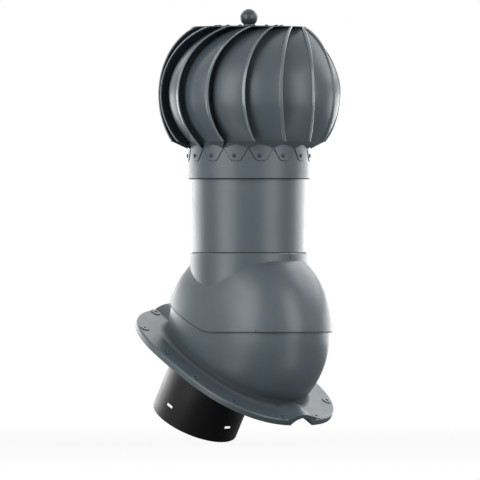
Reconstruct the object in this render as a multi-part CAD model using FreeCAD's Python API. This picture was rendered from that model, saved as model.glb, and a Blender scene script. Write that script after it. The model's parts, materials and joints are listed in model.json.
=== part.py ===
import FreeCAD, Part
import math
import os

from FreeCAD import Placement, Rotation, Vector

# Roof turbine ventilator in millimetres, standing on a roof of ROOF_PITCH.
# The origin is where the spigot's axis crosses the roof plane.
# +Z is up and +X is level, towards the eaves.
ROOF_PITCH = 30.0
LOWEST_ROOF_PITCH = 5.0

# Duct
DUCT_DIAMETER = 125.0
DUCT_WALL = 2.0

# Flange of the base, measured in the roof plane
FLANGE_LENGTH = 309.6
FLANGE_WIDTH = 238.2
FLANGE_EXPONENT = 2.65
FLANGE_HEIGHT = 8.6
FLANGE_EDGE_ROUNDING = 2.4
PLATE_THICKNESS = 3.0
SPIGOT_TO_FLANGE_CENTRE = 31.1
SCREW_HOLE_DIAMETER = 4.5
SCREW_DISC_DIAMETER = 14.0
SCREW_DISC_HEIGHT = 1.0
END_SCREW_INSET = 10.3
END_SCREW_HALF_SPACING = 34.0
CORNER_SCREW_END_INSET = 52.8
CORNER_SCREW_SIDE_INSET = 27.1
SIDE_SCREW_INSET = 9.6
SIDE_SCREW_HALF_SPACING = 35.0
ARCH_WIDTH = 42.0
ARCH_HEIGHT = 12.0
ARCH_OUTSIDE_WIDTH = 54.0
ARCH_OUTSIDE_HEIGHT = 17.2
GASKET_EDGE_MARGIN = 20.0
GASKET_DRUM_MARGIN = 2.0

# Drum: two shells turned about one level axis across the slope
DRUM_ROUND_DUCT = 66.1
DRUM_BESIDE_DUCT = 27.1
DRUM_EXPONENT = 2.41
DRUM_END_ANGLE = 86.0
PIVOT_HEIGHT = 61.3
SHELL_WALL = 2.8
SHELL_GAP = 0.8
DRUM_FOOT_ROUNDING = 9.0
OPENING_GAP = 2.0
SEAM_LIFT = 0.6
SEAM_RISE = 23.3
SEAM_ROUNDING = 65.0

# Neck of the upper shell
NECK_WALL = 3.75
NECK_DEPTH = 10.15
NECK_EDGE_ROUNDING = 1.4
NECK_LEDGE_THICKNESS = 3.0
NECK_LEDGE_WIDTH = 6.0
NECK_MARK_WIDTH = 2.0
NECK_MARK_HEIGHT = 7.0
NECK_MARK_DEPTH = 0.8

# Riser
RISER_LENGTH = 145.8
SLEEVE_THICKNESS = 13.55
RISER_TAPER = 1.65
RISER_WALL = 2.0
RISER_FIT = 0.2
CAP_RING_THICKNESS = 2.0
CAP_RING_OVERHANG = 0.8
DUCT_BELOW_PIVOT = 14.0

# Spigot
SPIGOT_LENGTH = 100.0
SPIGOT_SHOULDER = 1.5
SPIGOT_SHOULDER_FOOT = 2.0
SPIGOT_COLLAR_WIDTH = 9.0
SPIGOT_COLLAR_THICKNESS = 3.0
SEAL_THICKNESS = 2.0
FLOOR_GAP = 0.3
SLOT_LENGTH = 12.6
SLOT_HEIGHT = 4.5
SLOT_FROM_MOUTH = 23.5
SPIGOT_SCREW_COUNT = 4
SPIGOT_SCREW_RADIUS = 2.0
SPIGOT_SCREW_HEAD_RADIUS = 3.8
SPIGOT_SCREW_HEAD_HEIGHT = 1.8

# Pivot of the head
PIVOT_RADIUS = 4.0
PIVOT_RUNNING_GAP = 0.06
PIVOT_BOSS_RADIUS = 9.0
PIVOT_BOSS_LENGTH = 12.0
PIVOT_SIDE_GAP = 0.3
PIVOT_HEAD_RADIUS = 6.0
PIVOT_HEAD_THICKNESS = 3.0

# Bearings and shaft
BEARING_OUTSIDE = 22.0
BEARING_BORE = 8.0
BEARING_WIDTH = 7.0
BEARING_RING_WALL = 2.2
BEARING_SPACING = 48.0
HOUSING_WALL = 3.0
HOUSING_FLANGE_RADIUS = 23.0
HOUSING_FLANGE_THICKNESS = 3.0
HOUSING_FLANGE_FROM_FOOT = 29.0
CIRCLIP_THICKNESS = 1.2
CIRCLIP_WIDTH = 1.6
FIT_GAP = 0.04
BRACKET_BELOW_RISER_TOP = 12.0
BRACKET_THICKNESS = 2.5
BRACKET_ARMS = 3
BRACKET_ARM_WIDTH = 18.0
BRACKET_TAB_LENGTH = 18.0
BRACKET_SCREW_DROP = 10.8
SMALL_SCREW_RADIUS = 2.0
SMALL_SCREW_HEAD_RADIUS = 3.5
SMALL_SCREW_HEAD_HEIGHT = 1.6
SHAFT_RADIUS = 5.0
SLINGER_RADIUS = 15.0
SLINGER_THICKNESS = 1.5
SLINGER_BOSS_HEIGHT = 3.5
NUT_ACROSS_FLATS = 13.0
NUT_THICKNESS = 6.5
WASHER_THICKNESS = 1.6
WASHER_RADIUS = 8.0
SHAFT_THREAD_END = 2.0

# Turbine, heights measured from the skirt's lower edge
TURBINE_RADIUS = 127.4
BLADE_COUNT = 15
BLADE_ARC_RADIUS = 116.5
BLADE_OUTER_OFFSET = 69.3
BLADE_INNER_OFFSET = 16.5
BLADE_INNER_LIFT = 6.3
BLADE_BULGE = 5.6
BLADE_THICKNESS = 0.8
BLADE_TIP_HEIGHT = 51.2
EQUATOR_HEIGHT = 116.7
TOP_DISC_HEIGHT = 211.4
FIRST_BLADE_AZIMUTH = -104.7
SKIRT_CLEARANCE = 5.1
SKIRT_HEIGHT = 43.1
SKIRT_THICKNESS = 0.8
SKIRT_LAP = 31.1
TAB_MIDDLE_ANGLE = 23.2
TAB_WIDTH = 33.0
TAB_FOOT_WIDTH = 15.0
TAB_FOOT_HEIGHT = 24.1
TAB_CORNER_HEIGHT = 40.9
TAB_ARCH_HEIGHT = 46.5
TAB_RIVET_ANGLE = 21.4
TAB_RIVET_HEIGHT = 31.3
LAP_GAP = 0.05
RIVET_RADIUS = 1.5
RIVET_HEAD_RADIUS = 2.3
RIVET_HEAD_HEIGHT = 1.2
RIVET_TAIL_LENGTH = 0.6
TOP_TAB_REACH = 7.0
TOP_TAB_NEAR = 18.0
TOP_TAB_FAR = 38.0
TOP_RIVET_CIRCLE = 46.0
TOP_RIVET_SIDE = 32.0
TOP_DISC_RADIUS = 79.0
TOP_DISC_THICKNESS = 1.0
COVER_DISC_RADIUS = 52.5
COVER_DISC_THICKNESS = 0.8
HUB_WASHER_RADIUS = 18.0
HUB_WASHER_THICKNESS = 2.4
BALL_RADIUS = 12.25
BALL_NECK_RADIUS = 8.0
BALL_NECK_HEIGHT = 2.6

# Steps used where a curve is given by its formula
PROFILE_STEPS = 20
BLADE_STEPS = 7

ORIGIN = Vector(0, 0, 0)
ACROSS = Vector(0, 1, 0)
UP = Vector(0, 0, 1)

# Sizes that follow from the ones above
duct_radius = DUCT_DIAMETER / 2
duct_bore = duct_radius - DUCT_WALL
half_length = FLANGE_LENGTH / 2
half_width = FLANGE_WIDTH / 2
plate_bottom = FLANGE_HEIGHT - PLATE_THICKNESS
drum_radius = duct_radius + DRUM_ROUND_DUCT
drum_half_width = duct_radius + DRUM_BESIDE_DUCT
nest = SHELL_WALL + SHELL_GAP
lower_radius = drum_radius - nest
lower_half_width = drum_half_width - nest
pitch_travel = ROOF_PITCH - LOWEST_ROOF_PITCH
roof = Placement(ORIGIN, Rotation(ACROSS, ROOF_PITCH))
pivot = roof.multVec(Vector(SPIGOT_TO_FLANGE_CENTRE, 0, PIVOT_HEIGHT))

# The riser stands as low in the neck as the drum below lets it turn
sleeve_radius = duct_radius + SLEEVE_THICKNESS
riser_bore = sleeve_radius + RISER_FIT
riser_foot_radius = riser_bore + RISER_WALL
riser_head_radius = riser_foot_radius + RISER_TAPER
riser_foot = math.sqrt((drum_radius - SHELL_WALL) ** 2 - riser_bore**2)
riser_top = riser_foot + RISER_LENGTH
neck_radius = riser_foot_radius + NECK_WALL
neck_top = riser_foot + NECK_DEPTH

bracket_top = riser_top - BRACKET_BELOW_RISER_TOP
housing_foot = bracket_top - HOUSING_FLANGE_FROM_FOOT
lower_bearing_foot = housing_foot + CIRCLIP_THICKNESS
upper_bearing_foot = lower_bearing_foot + BEARING_SPACING
upper_bearing_top = upper_bearing_foot + BEARING_WIDTH
shaft_shoulder = upper_bearing_top + SLINGER_BOSS_HEIGHT
bearing_radius = BEARING_OUTSIDE / 2
shaft_seat = BEARING_BORE / 2
housing_radius = bearing_radius + HOUSING_WALL
housing_bore = bearing_radius - BEARING_RING_WALL / 2

skirt_radius = riser_head_radius + SKIRT_CLEARANCE
skirt_foot = riser_top - SKIRT_LAP
blade_arc_centre = TURBINE_RADIUS - BLADE_ARC_RADIUS
blade_pitch = 360.0 / BLADE_COUNT
tab_inside = skirt_radius + LAP_GAP
tab_outside = tab_inside + BLADE_THICKNESS
top_disc_foot = skirt_foot + TOP_DISC_HEIGHT
cover_foot = top_disc_foot + TOP_DISC_THICKNESS
cover_top = cover_foot + COVER_DISC_THICKNESS
ball_centre = cover_top + BALL_NECK_HEIGHT + math.sqrt(BALL_RADIUS**2 - BALL_NECK_RADIUS**2)


def save(name, shape):
    """Write one node."""
    shape.exportStep(os.path.join("parts", name + ".step"))


def cylinder(radius, low, high, x=0.0, y=0.0):
    """Upright cylinder between two heights."""
    return Part.makeCylinder(radius, high - low, Vector(x, y, low))


def ring(outer, inner, low, high):
    """Upright tube between two heights."""
    return cylinder(outer, low, high).cut(cylinder(inner, low, high))


def cross_cylinder(radius, near, far):
    """Cylinder along the cross axis, from one distance off the middle to another."""
    return Part.makeCylinder(radius, far - near, Vector(0, near, 0), ACROSS)


def box(x, y, z):
    """Box from three pairs of limits."""
    return Part.makeBox(x[1] - x[0], y[1] - y[0], z[1] - z[0], Vector(x[0], y[0], z[0]))


def turned(shape, angle, axis=UP):
    """Copy of a shape, turned about an axis through the origin."""
    copy = shape.copy()
    copy.rotate(ORIGIN, axis, angle)
    return copy


def moved(shape, offset):
    """Copy of a shape, moved."""
    copy = shape.copy()
    copy.translate(offset)
    return copy


def around(shape, count, first=0.0):
    """Copies of a shape, evenly spaced about the upright axis."""
    return [turned(shape, first + 360.0 * index / count) for index in range(count)]


def both_ways(values):
    """The four places that a pair of distances gives about the flange's centre."""
    along, across = values
    return [(sx * along, sy * across) for sx in (1, -1) for sy in (1, -1)]


def half_superellipse(half_x, half_y, exponent, end_angle=90.0):
    """Edge through (half_x, 0) that runs to the same angle on either side."""
    points = []
    for step in range(PROFILE_STEPS + 1):
        angle = math.radians(end_angle) * (2 * step / PROFILE_STEPS - 1)
        c, s = math.cos(angle), math.sin(angle)
        reach = (abs(c) ** exponent + abs(s) ** exponent) ** (-1 / exponent)
        points.append(Vector(half_x * c * reach, half_y * s * reach, 0))
    curve = Part.BSplineCurve()
    along_x = Vector(1, 0, 0)
    curve.interpolate(Points=points, InitialTangent=along_x, FinalTangent=-along_x)
    return curve.toShape()


def superellipse_plate(half_x, half_y, exponent, low, high):
    """Upright plate with a superellipse outline."""
    edge = half_superellipse(half_x, half_y, exponent)
    other = turned(edge, 180)
    face = Part.Face(Part.Wire([edge, other]))
    return moved(face, Vector(0, 0, low)).extrude(Vector(0, 0, high - low))


def drum(radius, half_width):
    """Body turned about the cross axis, flat round the pivots."""
    edge = half_superellipse(radius, half_width, DRUM_EXPONENT, DRUM_END_ANGLE)
    near, far = (edge.valueAt(value) for value in edge.ParameterRange)
    ends = Part.makePolygon([far, Vector(0, far.y, 0), Vector(0, near.y, 0), near])
    face = Part.Face(Part.Wire([edge] + ends.Edges))
    return face.revolve(ORIGIN, ACROSS, 360)


def drum_plan(radius, half_width):
    """Half length and half width of a drum where it meets the flange's top."""
    drop = PIVOT_HEIGHT - FLANGE_HEIGHT
    narrowing = 1 - (drop / radius) ** DRUM_EXPONENT
    return math.sqrt(radius**2 - drop**2), half_width * narrowing ** (1 / DRUM_EXPONENT)


# The base, drawn with X down the slope, Z off the roof and the flange's centre at the origin


def arch_bar(width, height, foot, start):
    """Bar along the slope to the flange's end, its top an arc of this width and height."""
    half = width / 2
    rise = height - foot
    radius = (half**2 + rise**2) / (2 * rise)
    bar = Part.makeCylinder(
        radius, half_length - start, Vector(start, 0, height - radius), Vector(1, 0, 0)
    )
    room = box((start, half_length), (-2 * half, 2 * half), (foot, height))
    return bar.common(room)


def arch_legs(start, gap=0.0):
    """Wall of the tunnel below the flange's plate."""
    wall = PLATE_THICKNESS + gap
    return arch_bar(ARCH_WIDTH + 2 * wall, ARCH_HEIGHT + wall, 0, start)


def solid_base():
    """Flange and lower drum as one full body, with the drum's foot rounded out on the flange."""
    plate = superellipse_plate(half_length, half_width, FLANGE_EXPONENT, 0, FLANGE_HEIGHT)
    rim = [e for e in plate.Edges if e.BoundBox.ZMin > FLANGE_HEIGHT / 2]
    plate = plate.makeFillet(FLANGE_EDGE_ROUNDING, rim)
    low = plate_bottom - PIVOT_HEIGHT
    lower = standing_drum(lower_radius, lower_half_width, low)
    body = plate.fuse(moved(lower, UP * PIVOT_HEIGHT)).removeSplitter()
    foot = [
        e
        for e in body.Edges
        if abs(e.BoundBox.ZMin - FLANGE_HEIGHT) < FIT_GAP
        and e.BoundBox.ZLength < FIT_GAP
        and e.BoundBox.YMax < drum_half_width
    ]
    return body.makeFillet(DRUM_FOOT_ROUNDING, foot)


def standing_drum(radius, half_width, low):
    """Part of the drum above a level, drawn about the pivot."""
    room = box((-2 * radius, 2 * radius), (-2 * radius, 2 * radius), (low, 2 * radius))
    return drum(radius, half_width).common(room)


def hollow_base():
    """Flange with a rim turned down to the roof, two arches and the open lower drum."""
    body = solid_base()
    under = superellipse_plate(
        half_length - PLATE_THICKNESS, half_width - PLATE_THICKNESS, FLANGE_EXPONENT, 0, plate_bottom
    )
    body = body.cut(under)
    tall = superellipse_plate(half_length, half_width, FLANGE_EXPONENT, 0, 2 * ARCH_OUTSIDE_HEIGHT)
    start = drum_plan(lower_radius, lower_half_width)[0]
    hood = arch_bar(ARCH_OUTSIDE_WIDTH, ARCH_OUTSIDE_HEIGHT, FLANGE_HEIGHT, start - SHELL_WALL / 2)
    hood = hood.fuse(arch_legs(start)).common(tall)
    body = body.fuse([hood, turned(hood, 180)])
    chamber = standing_drum(
        lower_radius - SHELL_WALL, lower_half_width - SHELL_WALL, FLANGE_HEIGHT - PIVOT_HEIGHT
    )
    body = body.cut(moved(chamber, UP * PIVOT_HEIGHT))
    tunnel = arch_bar(ARCH_WIDTH, ARCH_HEIGHT, 0, start + SHELL_WALL)
    return body.cut([tunnel, turned(tunnel, 180)])


def pivot_boss(side):
    """Boss inside the side wall, with a blind hole for the pivot screw."""
    wall = lower_half_width - SHELL_WALL
    boss = cross_cylinder(PIVOT_BOSS_RADIUS, wall - PIVOT_BOSS_LENGTH, wall + SHELL_WALL / 2)
    return turned(boss, 0 if side > 0 else 180)


def pivot_hole(side):
    wall = lower_half_width - SHELL_WALL
    hole = cross_cylinder(PIVOT_RADIUS + FIT_GAP, wall - PIVOT_BOSS_LENGTH, wall)
    return turned(hole, 0 if side > 0 else 180)


def swept_opening():
    """Space that the inner duct sweeps between the two pitches, drawn about the pivot."""
    radius = duct_radius + OPENING_GAP
    reach = drum_radius + SHELL_WALL
    upright = cylinder(radius, duct_radius / 2, reach)
    sector = Part.makePolygon(
        [
            Vector(0, -radius, duct_radius),
            Vector(0, radius, duct_radius),
            Vector(0, radius, reach),
            Vector(0, -radius, reach),
            Vector(0, -radius, duct_radius),
        ]
    )
    between = Part.Face(sector).revolve(ORIGIN, ACROSS, pitch_travel)
    return upright.fuse([turned(upright, pitch_travel, ACROSS), between])


def flange_screw_places():
    """Places of the twelve flange screws, each a set distance in from the flange's ends or sides."""
    end = (half_length - END_SCREW_INSET, END_SCREW_HALF_SPACING)
    corner = (half_length - CORNER_SCREW_END_INSET, half_width - CORNER_SCREW_SIDE_INSET)
    side = (SIDE_SCREW_HALF_SPACING, half_width - SIDE_SCREW_INSET)
    return both_ways(end) + both_ways(corner) + both_ways(side)


def base_shell():
    spigot = Vector(-SPIGOT_TO_FLANGE_CENTRE, 0, 0)
    shell = moved(hollow_base(), UP * -PIVOT_HEIGHT).fuse([pivot_boss(1), pivot_boss(-1)])
    opening = turned(swept_opening(), -ROOF_PITCH, ACROSS)
    shell = shell.cut(opening).cut(pivot_hole(1)).cut(pivot_hole(-1))
    shell = moved(shell, UP * PIVOT_HEIGHT)
    places = flange_screw_places()
    disc_top = FLANGE_HEIGHT + SCREW_DISC_HEIGHT
    for x, y in places:
        shell = shell.fuse(cylinder(SCREW_DISC_DIAMETER / 2, plate_bottom, disc_top, x, y))
    for x, y in places:
        shell = shell.cut(cylinder(SCREW_HOLE_DIAMETER / 2, 0, disc_top, x, y))
    floor_hole = cylinder(spigot_shoulder_radius() + FLOOR_GAP, 0, PIVOT_HEIGHT)
    shell = shell.cut(moved(floor_hole, spigot))
    for screw in spigot_screw_places(SPIGOT_SCREW_RADIUS + FIT_GAP, 0, PIVOT_HEIGHT / 2):
        shell = shell.cut(moved(screw, spigot))
    return on_roof(moved(shell.removeSplitter(), -spigot))


def on_roof(shape):
    """Shape drawn in the roof's axes, turned to the roof's pitch."""
    return turned(shape, ROOF_PITCH, ACROSS)


def spigot_shoulder_radius():
    return duct_radius + SPIGOT_SHOULDER


def spigot_collar_radius():
    return spigot_shoulder_radius() + SPIGOT_COLLAR_WIDTH


def spigot_screw_places(radius, low, high):
    """Upright cylinders on the screws' circle, in the middle of the collar."""
    circle = (spigot_shoulder_radius() + spigot_collar_radius()) / 2
    pin = cylinder(radius, low, high, circle)
    return around(pin, SPIGOT_SCREW_COUNT, 180 / SPIGOT_SCREW_COUNT)


def collar_bottom():
    return FLANGE_HEIGHT + SEAL_THICKNESS


def collar_top():
    return collar_bottom() + SPIGOT_COLLAR_THICKNESS


def spigot_pipe():
    """Duct spigot with its shoulder in the floor and its collar above it."""
    pipe = cylinder(duct_radius, -SPIGOT_LENGTH, SPIGOT_SHOULDER_FOOT)
    pipe = pipe.fuse(cylinder(spigot_shoulder_radius(), SPIGOT_SHOULDER_FOOT, collar_bottom()))
    pipe = pipe.fuse(cylinder(spigot_collar_radius(), collar_bottom(), collar_top()))
    pipe = pipe.cut(cylinder(duct_bore, -SPIGOT_LENGTH, collar_top()))
    middle = SLOT_FROM_MOUTH - SPIGOT_LENGTH
    slot = box(
        (duct_bore / 2, SPIGOT_LENGTH),
        (-SLOT_LENGTH / 2, SLOT_LENGTH / 2),
        (middle - SLOT_HEIGHT / 2, middle + SLOT_HEIGHT / 2),
    )
    pipe = pipe.cut(around(slot, 4))
    pipe = pipe.cut(spigot_screw_places(SPIGOT_SCREW_RADIUS + FIT_GAP, 0, collar_top()))
    return on_roof(pipe)


def spigot_seal():
    seal = ring(
        spigot_collar_radius(), spigot_shoulder_radius() + FLOOR_GAP, FLANGE_HEIGHT, collar_bottom()
    )
    seal = seal.cut(spigot_screw_places(SPIGOT_SCREW_RADIUS + FIT_GAP, 0, collar_top()))
    return on_roof(seal)


def spigot_screws():
    shanks = spigot_screw_places(SPIGOT_SCREW_RADIUS, plate_bottom, collar_top())
    head_top = collar_top() + SPIGOT_SCREW_HEAD_HEIGHT
    heads = spigot_screw_places(SPIGOT_SCREW_HEAD_RADIUS, collar_top(), head_top)
    screws = [shank.fuse(head).removeSplitter() for shank, head in zip(shanks, heads)]
    return on_roof(Part.makeCompound(screws))


def roof_gasket():
    """Foam strip round the foot of the drum, open where the arches pass."""
    outside = superellipse_plate(
        half_length - GASKET_EDGE_MARGIN, half_width - GASKET_EDGE_MARGIN, FLANGE_EXPONENT, 0, plate_bottom
    )
    drum_half_length, drum_half_breadth = drum_plan(lower_radius, lower_half_width)
    inside = superellipse_plate(
        drum_half_length + GASKET_DRUM_MARGIN,
        drum_half_breadth + GASKET_DRUM_MARGIN,
        DRUM_EXPONENT,
        0,
        plate_bottom,
    )
    strip = outside.cut(inside)
    for angle in (0, 180):
        strip = strip.cut(turned(arch_legs(0, FLOOR_GAP), angle))
    return on_roof(moved(strip, Vector(SPIGOT_TO_FLANGE_CENTRE, 0, 0)))


def pivot_screw(side):
    """Shoulder screw from inside the duct into the base's boss."""
    head_face = duct_bore - PIVOT_SIDE_GAP - PIVOT_HEAD_RADIUS**2 / (2 * duct_bore)
    end = lower_half_width - SHELL_WALL - FIT_GAP
    screw = cross_cylinder(PIVOT_RADIUS, head_face, end)
    head = cross_cylinder(PIVOT_HEAD_RADIUS, head_face - PIVOT_HEAD_THICKNESS, head_face)
    screw = screw.fuse(head).removeSplitter()
    return moved(turned(screw, 0 if side > 0 else 180), pivot)


# The head and the turbine, drawn upright about the pivot


def above_seam():
    """Room above the rim of the upper shell: level downhill, rising uphill."""
    reach = 2 * drum_radius
    rise = math.radians(SEAM_RISE)
    tangent = SEAM_ROUNDING * math.tan(rise / 2)
    start = Vector(tangent, -reach, SEAM_LIFT)
    middle = Vector(
        tangent - SEAM_ROUNDING * math.sin(rise / 2),
        -reach,
        SEAM_LIFT + SEAM_ROUNDING * (1 - math.cos(rise / 2)),
    )
    end = Vector(-tangent * math.cos(rise), -reach, SEAM_LIFT + tangent * math.sin(rise))
    far = Vector(-reach, -reach, SEAM_LIFT + reach * math.tan(rise))
    corners = [far, Vector(-reach, -reach, reach), Vector(reach, -reach, reach)]
    corners += [Vector(reach, -reach, SEAM_LIFT), start]
    edges = [Part.Arc(start, middle, end).toShape(), Part.makeLine(end, far)]
    edges += [Part.makeLine(a, b) for a, b in zip(corners, corners[1:])]
    face = Part.Face(Part.Wire(edges))
    return face.extrude(Vector(0, 2 * reach, 0))


def upper_shell():
    neck = cylinder(neck_radius, 0, neck_top)
    top_edge = [e for e in neck.Edges if e.BoundBox.ZMin > neck_top / 2 and e.Closed]
    neck = neck.makeFillet(NECK_EDGE_ROUNDING, top_edge[:1])
    mark = box(
        (riser_bore, neck_radius + NECK_MARK_DEPTH),
        (-NECK_MARK_WIDTH / 2, NECK_MARK_WIDTH / 2),
        (neck_top - NECK_EDGE_ROUNDING - NECK_MARK_HEIGHT, neck_top - NECK_EDGE_ROUNDING),
    )
    shell = drum(drum_radius, drum_half_width).fuse(neck).fuse(mark)
    shell = shell.cut(drum(drum_radius - SHELL_WALL, drum_half_width - SHELL_WALL))
    socket = riser_foot_radius + RISER_FIT
    ledge_top = riser_foot
    shell = shell.cut(cylinder(socket, ledge_top, 2 * neck_top))
    shell = shell.cut(cylinder(socket - NECK_LEDGE_WIDTH, 0, 2 * neck_top))
    below_ledge = cylinder(socket, 0, ledge_top - NECK_LEDGE_THICKNESS)
    shell = shell.cut(below_ledge)
    return moved(shell.common(above_seam()).removeSplitter(), pivot)


def riser_pipe():
    outside = Part.makeCone(riser_foot_radius, riser_head_radius, RISER_LENGTH)
    inside = Part.makeCone(
        riser_foot_radius - RISER_WALL, riser_head_radius - RISER_WALL, RISER_LENGTH
    )
    return moved(outside.cut(inside), pivot + UP * riser_foot)


def inner_duct():
    duct = ring(duct_radius, duct_bore, -DUCT_BELOW_PIVOT, riser_top)
    pin = PIVOT_RADIUS + PIVOT_RUNNING_GAP
    duct = duct.cut(cross_cylinder(pin, -duct_radius, duct_radius))
    duct = duct.cut(bracket_screw_shanks(SMALL_SCREW_RADIUS + FIT_GAP))
    return moved(duct, pivot)


def insulation_sleeve():
    """Foam between the pipes, cut to clear the drum that turns below it."""
    foam = ring(sleeve_radius, duct_radius + RISER_FIT, 0, riser_top)
    turning = drum(drum_radius - SHELL_WALL, drum_half_width - SHELL_WALL)
    foam = foam.cut(turning)
    ledge = riser_foot_radius + RISER_FIT - NECK_LEDGE_WIDTH
    outer = ring(2 * sleeve_radius, ledge - RISER_FIT, 0, riser_foot + RISER_FIT)
    return moved(foam.cut(outer), pivot)


def riser_cap_ring():
    cap = ring(
        riser_head_radius + CAP_RING_OVERHANG, duct_bore, riser_top, riser_top + CAP_RING_THICKNESS
    )
    return moved(cap, pivot)


def pivot_bush(side):
    """Spacer between the duct and the base's boss, running on the pivot screw."""
    far = lower_half_width - SHELL_WALL - PIVOT_BOSS_LENGTH - PIVOT_SIDE_GAP
    bush = cross_cylinder(PIVOT_BOSS_RADIUS, duct_radius, far)
    bush = bush.cut(cross_cylinder(PIVOT_RADIUS + PIVOT_RUNNING_GAP, duct_radius, far))
    return moved(turned(bush, 0 if side > 0 else 180), pivot)


def bracket_tab_face():
    """Distance from the axis to the flat outside of a tab, whose corners touch the duct."""
    return math.sqrt(duct_bore**2 - (BRACKET_ARM_WIDTH / 2) ** 2) - FIT_GAP


def bracket_screw_shanks(radius):
    """Level cylinders through the tabs and the duct's wall."""
    height = bracket_top - BRACKET_SCREW_DROP
    start = bracket_tab_face() - BRACKET_THICKNESS
    shank = Part.makeCylinder(radius, duct_radius - start, Vector(start, 0, height), Vector(1, 0, 0))
    return around(shank, BRACKET_ARMS)


def bearing_bracket():
    """Hub plate with arms to the duct's wall, each with a tab bent down."""
    half = BRACKET_ARM_WIDTH / 2
    face = bracket_tab_face()
    low = bracket_top - BRACKET_THICKNESS
    plate = cylinder(HOUSING_FLANGE_RADIUS, low, bracket_top)
    arm = box((0, face), (-half, half), (low, bracket_top))
    tab = box((face - BRACKET_THICKNESS, face), (-half, half), (bracket_top - BRACKET_TAB_LENGTH, bracket_top))
    bracket = plate.fuse(around(arm.fuse(tab), BRACKET_ARMS))
    bracket = bracket.cut(cylinder(housing_radius + FIT_GAP, low, bracket_top))
    bracket = bracket.cut(bracket_screw_shanks(SMALL_SCREW_RADIUS + FIT_GAP))
    bracket = bracket.cut(housing_screw_shanks(SMALL_SCREW_RADIUS + FIT_GAP))
    return moved(bracket.removeSplitter(), pivot)


def bracket_screws():
    start = bracket_tab_face() - BRACKET_THICKNESS
    height = bracket_top - BRACKET_SCREW_DROP
    head = Part.makeCylinder(
        SMALL_SCREW_HEAD_RADIUS,
        SMALL_SCREW_HEAD_HEIGHT,
        Vector(start - SMALL_SCREW_HEAD_HEIGHT, 0, height),
        Vector(1, 0, 0),
    )
    heads = around(head, BRACKET_ARMS)
    shanks = bracket_screw_shanks(SMALL_SCREW_RADIUS)
    screws = [shank.fuse(head).removeSplitter() for shank, head in zip(shanks, heads)]
    return moved(Part.makeCompound(screws), pivot)


def housing_screw_shanks(radius):
    """Upright cylinders between the arms, through the housing's flange and the bracket."""
    circle = (housing_radius + HOUSING_FLANGE_RADIUS) / 2
    shank = cylinder(
        radius, bracket_top - BRACKET_THICKNESS, bracket_top + HOUSING_FLANGE_THICKNESS, circle
    )
    return around(shank, BRACKET_ARMS, 180 / BRACKET_ARMS)


def bearing_housing():
    """Turned tube with a seat for a bearing at each end and a flange on the bracket."""
    top = upper_bearing_top
    tube = cylinder(housing_radius, housing_foot, top)
    flange_top = bracket_top + HOUSING_FLANGE_THICKNESS
    tube = tube.fuse(cylinder(HOUSING_FLANGE_RADIUS, bracket_top, flange_top))
    tube = tube.cut(cylinder(housing_bore, housing_foot, top))
    seat = bearing_radius + FIT_GAP
    tube = tube.cut(cylinder(seat, upper_bearing_foot, top))
    tube = tube.cut(cylinder(seat, housing_foot, lower_bearing_foot + BEARING_WIDTH))
    groove = bearing_radius + CIRCLIP_WIDTH / 2
    tube = tube.cut(cylinder(groove, housing_foot, lower_bearing_foot))
    tube = tube.cut(housing_screw_shanks(SMALL_SCREW_RADIUS + FIT_GAP))
    return moved(tube.removeSplitter(), pivot)


def housing_screws():
    circle = (housing_radius + HOUSING_FLANGE_RADIUS) / 2
    low = bracket_top + HOUSING_FLANGE_THICKNESS
    head = cylinder(SMALL_SCREW_HEAD_RADIUS, low, low + SMALL_SCREW_HEAD_HEIGHT, circle)
    heads = around(head, BRACKET_ARMS, 180 / BRACKET_ARMS)
    shanks = housing_screw_shanks(SMALL_SCREW_RADIUS)
    screws = [shank.fuse(head).removeSplitter() for shank, head in zip(shanks, heads)]
    return moved(Part.makeCompound(screws), pivot)


def bearing_outer_ring(foot):
    outer = ring(bearing_radius, bearing_radius - BEARING_RING_WALL, foot, foot + BEARING_WIDTH)
    return moved(outer, pivot)


def bearing_inner_ring(foot):
    inner = ring(shaft_seat + BEARING_RING_WALL, shaft_seat, foot, foot + BEARING_WIDTH)
    return moved(inner, pivot)


def housing_circlip():
    """Open spring ring under the lower bearing."""
    outer = bearing_radius + CIRCLIP_WIDTH / 2 - FIT_GAP
    clip = ring(outer, outer - CIRCLIP_WIDTH, housing_foot, lower_bearing_foot)
    gap = box((0, BEARING_OUTSIDE), (-CIRCLIP_WIDTH, CIRCLIP_WIDTH), (housing_foot, lower_bearing_foot))
    return moved(clip.cut(gap), pivot)


def shaft():
    """Upright shaft: slim through the bearings, full size above, slim again in the top disc."""
    slim = shaft_seat - FIT_GAP
    foot = lower_bearing_foot - WASHER_THICKNESS - NUT_THICKNESS - SHAFT_THREAD_END
    hub = top_disc_foot - HUB_WASHER_THICKNESS
    rod = cylinder(slim, foot, shaft_shoulder)
    rod = rod.fuse(cylinder(SHAFT_RADIUS, shaft_shoulder, hub))
    rod = rod.fuse(cylinder(slim, hub, ball_centre))
    return moved(rod.removeSplitter(), pivot)


def bearing_spacer():
    low = lower_bearing_foot + BEARING_WIDTH
    spacer = ring(shaft_seat + BEARING_RING_WALL, shaft_seat, low, upper_bearing_foot)
    return moved(spacer, pivot)


def rain_slinger():
    """Disc that keeps rain off the upper bearing, on a boss that bears on its inner ring."""
    boss = cylinder(shaft_seat + BEARING_RING_WALL, upper_bearing_top, shaft_shoulder)
    disc = cylinder(SLINGER_RADIUS, shaft_shoulder - SLINGER_THICKNESS, shaft_shoulder)
    slinger = boss.fuse(disc).cut(cylinder(shaft_seat, upper_bearing_top, shaft_shoulder))
    return moved(slinger.removeSplitter(), pivot)


def shaft_washer():
    top = lower_bearing_foot
    inner = shaft_seat + BEARING_RING_WALL
    washer = ring(min(WASHER_RADIUS, inner), shaft_seat, top - WASHER_THICKNESS, top)
    return moved(washer, pivot)


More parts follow.
